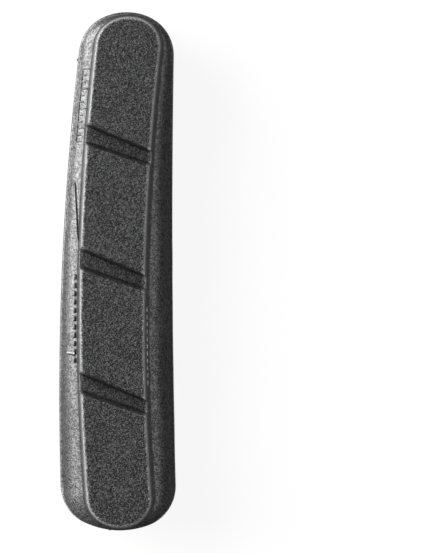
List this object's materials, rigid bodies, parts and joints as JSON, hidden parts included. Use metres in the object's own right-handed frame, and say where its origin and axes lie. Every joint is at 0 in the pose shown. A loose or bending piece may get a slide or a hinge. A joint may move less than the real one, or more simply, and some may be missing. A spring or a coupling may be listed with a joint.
{
  "type": "bicycle rim brake pad",
  "caption": "Curved rubber friction insert for a cartridge rim brake shoe: a grooved friction land on a wedge-shaped body, with a slotted rail that slides into the shoe.",
  "frame": {"origin": "on the back of the rail, at mid-length, under the arc that the friction land follows", "axes": "+Z from the shoe to the rim, +Y along the insert to its narrow front end, +X to the wheel's centre"},
  "size_m": [0.0127, 0.055, 0.0096],
  "materials": {
    "brake_rubber": "matt, finely grained"
  },
  "bodies": {
    "root": {"pad_insert": "brake_rubber"}
  },
  "joints": []
}
